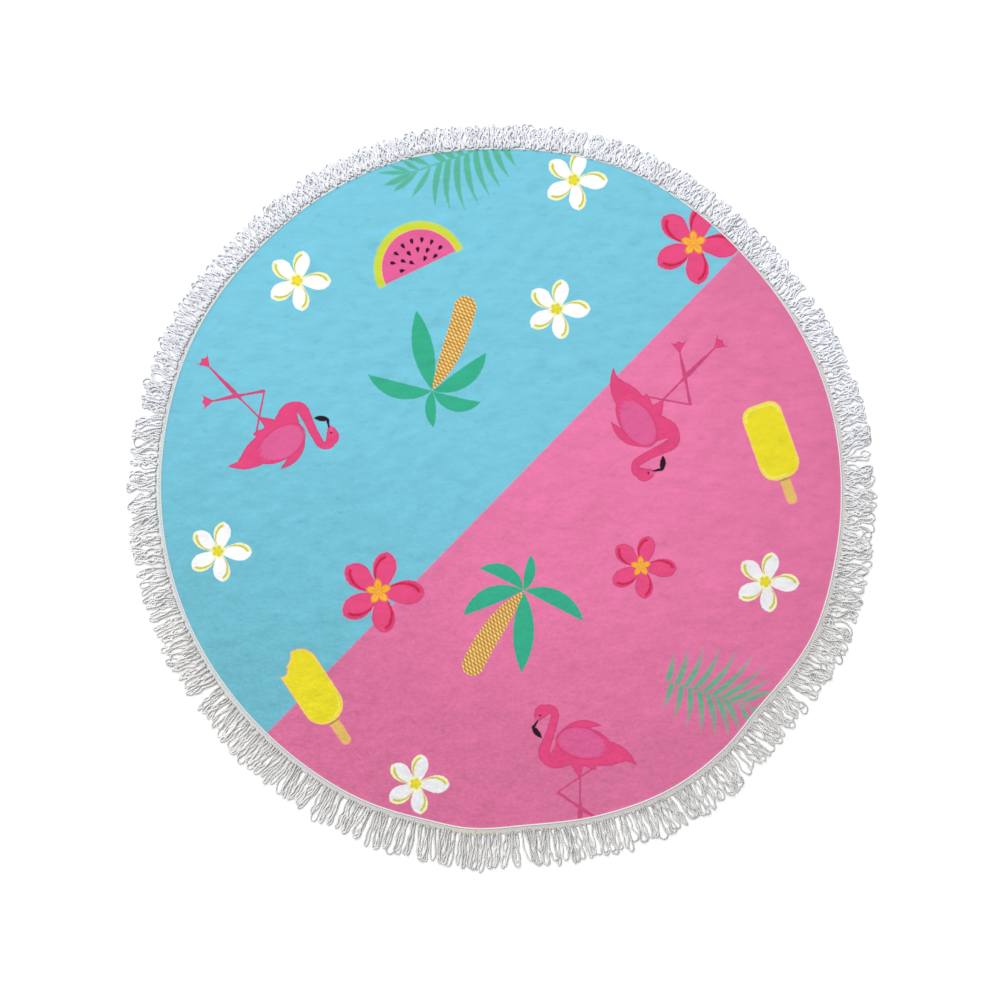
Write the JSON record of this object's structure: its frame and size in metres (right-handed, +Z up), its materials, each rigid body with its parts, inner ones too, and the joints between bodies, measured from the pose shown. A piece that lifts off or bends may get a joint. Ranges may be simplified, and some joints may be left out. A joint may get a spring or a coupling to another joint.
{
  "type": "round beach towel",
  "caption": "Round beach towel lying flat: a disc of short-pile cloth printed on one side, its hem edged all round with a looped yarn fringe.",
  "frame": {"origin": "on the surface that the towel lies on, under the middle of its overall outline", "axes": "+Z up, out of the printed side; +X to the right and +Y to the top of the towel as it lies with the fringe longest at the bottom"},
  "size_m": [1.5026, 1.4982, 0.005],
  "materials": {
    "printed_pile_cloth": "short velour pile, printed sky blue and rose pink with white, yellow and green motifs on its upper side, plain white below",
    "fringe_yarn": "soft white twisted yarn in loops on a woven heading tape"
  },
  "bodies": {
    "root": {"towel_cloth": "printed_pile_cloth", "looped_fringe": "fringe_yarn"}
  },
  "joints": []
}
